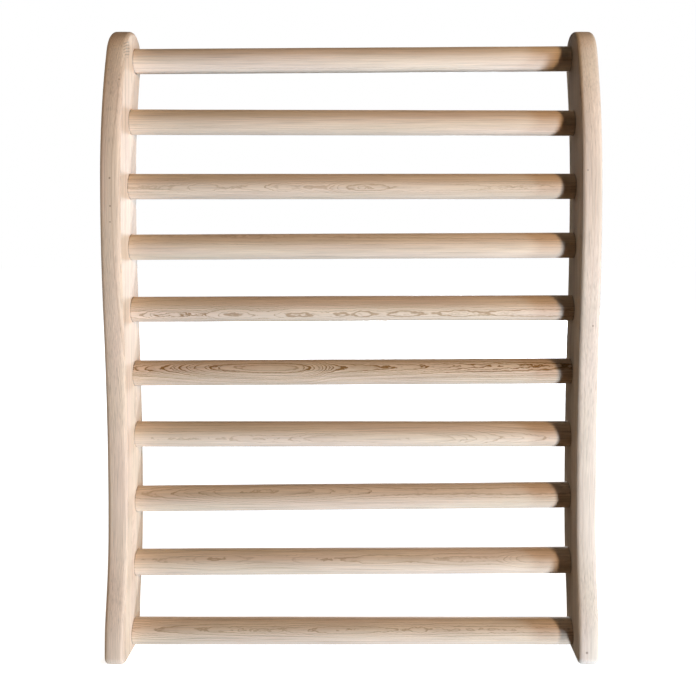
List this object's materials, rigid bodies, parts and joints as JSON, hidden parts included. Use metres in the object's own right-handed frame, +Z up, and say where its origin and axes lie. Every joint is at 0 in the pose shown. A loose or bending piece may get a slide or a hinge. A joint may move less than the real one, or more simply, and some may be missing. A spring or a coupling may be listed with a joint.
{
  "type": "wall bars",
  "caption": "Small wooden wall bars: two S-curved rounded stiles joined by level dowel rungs set in stopped bores, for leaning on or hanging from.",
  "frame": {"origin": "on the floor under the middle of the part, at the bottom centre of its box", "axes": "+X along the rungs to the right stile, +Y from the front edges of the stiles to their back edges, +Z up the stiles"},
  "size_m": [0.47, 0.083, 0.61],
  "materials": {
    "stile_wood": "sanded, unfinished pale softwood",
    "rung_wood": "sanded, unfinished pale softwood dowel",
    "brad_steel": "bright wire"
  },
  "bodies": {
    "root": {"left_stile": "stile_wood", "right_stile": "stile_wood", "rung_01": "rung_wood", "rung_02": "rung_wood", "rung_03": "rung_wood", "rung_04": "rung_wood", "rung_05": "rung_wood", "rung_06": "rung_wood", "rung_07": "rung_wood", "rung_08": "rung_wood", "rung_09": "rung_wood", "rung_10": "rung_wood", "left_brads": "brad_steel", "right_brads": "brad_steel"}
  },
  "joints": []
}
